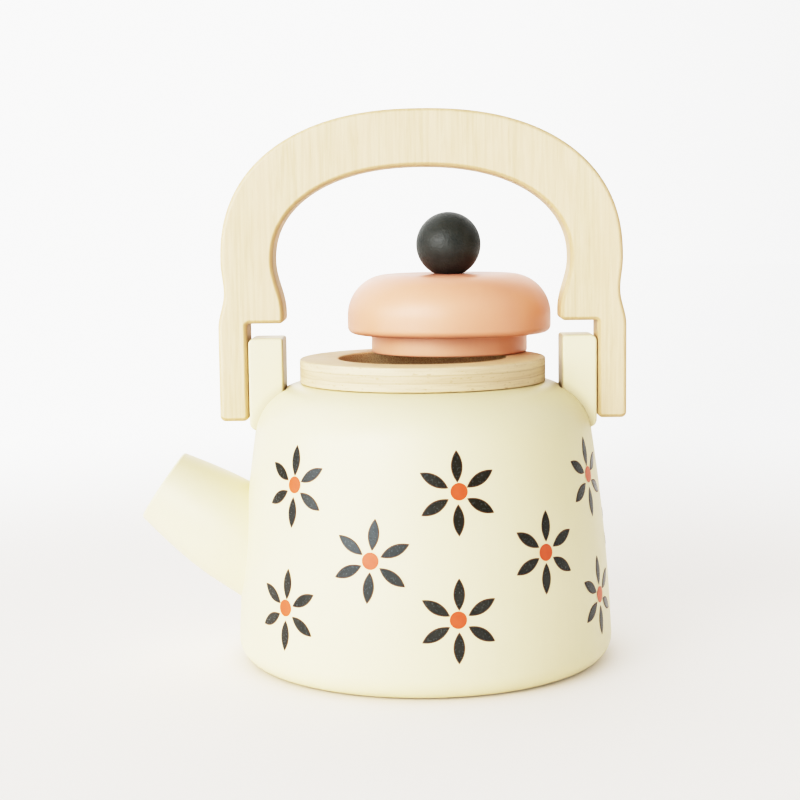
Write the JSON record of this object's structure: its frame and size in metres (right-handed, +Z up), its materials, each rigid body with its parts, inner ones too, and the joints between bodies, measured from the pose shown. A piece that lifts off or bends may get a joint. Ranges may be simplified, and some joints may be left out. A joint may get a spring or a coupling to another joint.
{
  "type": "wooden toy kettle",
  "caption": "Wooden pretend-play kettle: hollow turned body, stub spout, plywood collar, swinging arch handle on side ears, and a lift-off domed lid with a ball knob.",
  "frame": {"origin": "centre of the body's flat base, on the surface it stands on", "axes": "+Z up along the turned body's axis, -X towards the spout, X also along the handle's swing axis"},
  "size_m": [0.1507, 0.1166, 0.1691],
  "materials": {
    "cream_paint": "satin cream paint on turned wood",
    "peach_paint": "satin peach paint on turned wood",
    "charcoal_paint": "satin charcoal paint on a wooden ball",
    "plywood": "clear-coated plywood",
    "pale_wood": "clear-coated pale wood",
    "dowel_wood": "raw beech dowel"
  },
  "bodies": {
    "kettle": {"body": "cream_paint", "collar_ring": "plywood", "spout": "cream_paint", "spout_dowel": "dowel_wood", "ear_left": "cream_paint", "ear_right": "cream_paint", "ear_dowel_left": "dowel_wood", "ear_dowel_right": "dowel_wood", "pivot_dowel_left": "dowel_wood", "pivot_dowel_right": "dowel_wood"},
    "handle": {"handle_arch": "pale_wood"},
    "lid": {"lid_cap": "peach_paint", "lid_plug": "peach_paint", "lid_knob": "charcoal_paint", "knob_dowel": "dowel_wood"}
  },
  "joints": [
    {"name": "handle_swing", "type": "hinge", "parent": "kettle", "child": "handle", "pos_m": [0, 0, 0.087], "axis": [1, 0, 0], "range_deg": [-80, 80]},
    {"name": "lid_lift", "type": "slide", "parent": "kettle", "child": "lid", "axis": [0, 0.7071, 0.7071], "range_m": [0, 0.1]}
  ]
}
